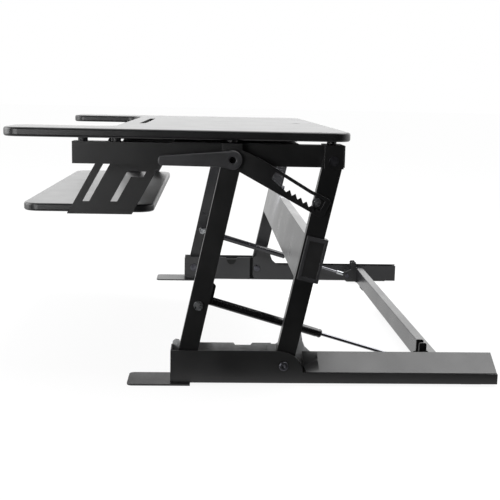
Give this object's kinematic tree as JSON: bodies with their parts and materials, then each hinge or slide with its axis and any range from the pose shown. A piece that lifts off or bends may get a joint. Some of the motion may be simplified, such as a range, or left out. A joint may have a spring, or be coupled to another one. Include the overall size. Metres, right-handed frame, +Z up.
{
  "type": "standing desk converter",
  "caption": "Desktop riser with a level-lifting four-bar frame, gas springs, latching racks with side levers, a U-cut desktop and a hanging keyboard tray.",
  "frame": {"origin": "centre of the overall box, on the floor plane", "axes": "+X to the right hand lever side, +Y away from the user, +Z up; desktop raised"},
  "size_m": [0.9386, 0.825, 0.422],
  "materials": {
    "black_steel": "satin black powder coat",
    "desk_laminate": "black laminate on board",
    "dark_plastic": "matte dark grey",
    "bolt_steel": "black zinc",
    "rubber": "matte",
    "rod_chrome": "dark nitrided steel"
  },
  "bodies": {
    "base": {"base_rail_right": "black_steel", "base_rail_left": "black_steel", "box_inner_wall_right": "black_steel", "box_inner_wall_left": "black_steel", "rail_inner_plate_right": "black_steel", "rail_inner_plate_left": "black_steel", "rail_cover_right": "black_steel", "rail_cover_left": "black_steel", "foot_plate_right": "black_steel", "foot_plate_left": "black_steel", "spring_clevis_right": "black_steel", "spring_clevis_left": "black_steel", "rear_crossbeam": "black_steel", "foot_plate_screws": "bolt_steel", "rest_pads": "rubber", "rubber_pads": "rubber", "crossbeam_bolts": "bolt_steel", "clevis_studs": "bolt_steel", "base_pins_front": "bolt_steel", "base_bolts_rear": "bolt_steel"},
    "rear_legs": {"rear_leg_right": "black_steel", "rear_leg_left": "black_steel", "rear_crossbar": "black_steel", "crossbar_screws": "bolt_steel", "crossbar_cover_right": "dark_plastic", "crossbar_cover_left": "dark_plastic", "rack_pin_right": "bolt_steel", "rack_pin_left": "bolt_steel"},
    "upper_frame": {"desktop": "desk_laminate", "cable_plug": "dark_plastic", "desk_spacers": "dark_plastic", "desk_screws": "bolt_steel", "cross_plate": "black_steel", "pivot_cheeks_front": "black_steel", "pivot_cheeks_rear": "black_steel", "top_bolts_rear": "bolt_steel", "keyboard_tray": "desk_laminate", "tray_screws": "bolt_steel", "upper_rail_right": "black_steel", "upper_rail_left": "black_steel", "tray_bracket_right": "black_steel", "tray_bracket_left": "black_steel"},
    "front_leg_right": {"front_leg_right": "black_steel", "leg_gusset_right": "black_steel", "spring_pin_right": "bolt_steel"},
    "lever_shaft_right": {"lever_shaft_right": "bolt_steel"},
    "lever_right": {"lever_right": "dark_plastic", "rack_plate_right": "black_steel"},
    "gas_cylinder_right": {"gas_cylinder_right": "black_steel"},
    "gas_rod_right": {"gas_rod_right": "rod_chrome", "rod_end_right": "bolt_steel"},
    "front_leg_left": {"front_leg_left": "black_steel", "leg_gusset_left": "black_steel", "spring_pin_left": "bolt_steel"},
    "lever_shaft_left": {"lever_shaft_left": "bolt_steel"},
    "lever_left": {"lever_left": "dark_plastic", "rack_plate_left": "black_steel"},
    "gas_cylinder_left": {"gas_cylinder_left": "black_steel"},
    "gas_rod_left": {"gas_rod_left": "rod_chrome", "rod_end_left": "bolt_steel"}
  },
  "joints": [
    {"name": "lift", "type": "hinge", "parent": "base", "child": "front_leg_right", "pos_m": [0.44, -0.1173, 0.0327], "axis": [-1, 0, 0], "range_deg": [0, 58]},
    {"name": "front_leg_left_swing", "type": "hinge", "parent": "base", "child": "front_leg_left", "pos_m": [-0.44, -0.1173, 0.0327], "axis": [-1, 0, 0], "range_deg": [0, 58]},
    {"name": "rear_legs_swing", "type": "hinge", "parent": "base", "child": "rear_legs", "pos_m": [0.44, 0.0477, 0.0327], "axis": [-1, 0, 0], "range_deg": [0, 58]},
    {"name": "deck_level", "type": "hinge", "parent": "front_leg_right", "child": "upper_frame", "pos_m": [0.44, -0.04372, 0.3759], "axis": [-1, 0, 0], "range_deg": [-58, 0]},
    {"name": "rack_follow_right", "type": "hinge", "parent": "upper_frame", "child": "lever_shaft_right", "pos_m": [0.44, -0.04372, 0.3759], "axis": [-1, 0, 0], "range_deg": [-17.75, 0]},
    {"name": "lever_release_right", "type": "hinge", "parent": "lever_shaft_right", "child": "lever_right", "pos_m": [0.455, -0.04372, 0.3759], "axis": [-1, 0, 0], "range_deg": [0, 5], "stiffness_Nm_per_rad": 3, "springref_deg": -6.88},
    {"name": "gas_cylinder_swing_right", "type": "hinge", "parent": "front_leg_right", "child": "gas_cylinder_right", "pos_m": [0.388, -0.09571, 0.13341], "axis": [-1, 0, 0], "range_deg": [-65.93, 0]},
    {"name": "gas_rod_slide_right", "type": "slide", "parent": "gas_cylinder_right", "child": "gas_rod_right", "axis": [0, 0.9592, -0.2826], "range_m": [-0.08796, 0]},
    {"name": "rack_follow_left", "type": "hinge", "parent": "upper_frame", "child": "lever_shaft_left", "pos_m": [-0.44, -0.04372, 0.3759], "axis": [-1, 0, 0], "range_deg": [-17.75, 0]},
    {"name": "lever_release_left", "type": "hinge", "parent": "lever_shaft_left", "child": "lever_left", "pos_m": [-0.455, -0.04372, 0.3759], "axis": [-1, 0, 0], "range_deg": [0, 5], "stiffness_Nm_per_rad": 3, "springref_deg": -6.88},
    {"name": "gas_cylinder_swing_left", "type": "hinge", "parent": "front_leg_left", "child": "gas_cylinder_left", "pos_m": [-0.388, -0.09571, 0.13341], "axis": [-1, 0, 0], "range_deg": [-65.93, 0]},
    {"name": "gas_rod_slide_left", "type": "slide", "parent": "gas_cylinder_left", "child": "gas_rod_left", "axis": [0, 0.9592, -0.2826], "range_m": [-0.08796, 0]}
  ],
  "couplings": [
    {"joint": "front_leg_left_swing", "follows": "lift", "ratio": 1},
    {"joint": "rear_legs_swing", "follows": "lift", "ratio": 1},
    {"joint": "deck_level", "follows": "lift", "ratio": -1},
    {"joint": "rack_follow_right", "follows": "lift", "ratio": -0.30587},
    {"joint": "gas_cylinder_swing_right", "follows": "lift", "ratio": -1.1365},
    {"joint": "gas_rod_slide_right", "follows": "lift", "m_per_rad": -0.086794},
    {"joint": "rack_follow_left", "follows": "lift", "ratio": -0.30587},
    {"joint": "gas_cylinder_swing_left", "follows": "lift", "ratio": -1.1365},
    {"joint": "gas_rod_slide_left", "follows": "lift", "m_per_rad": -0.086794}
  ]
}
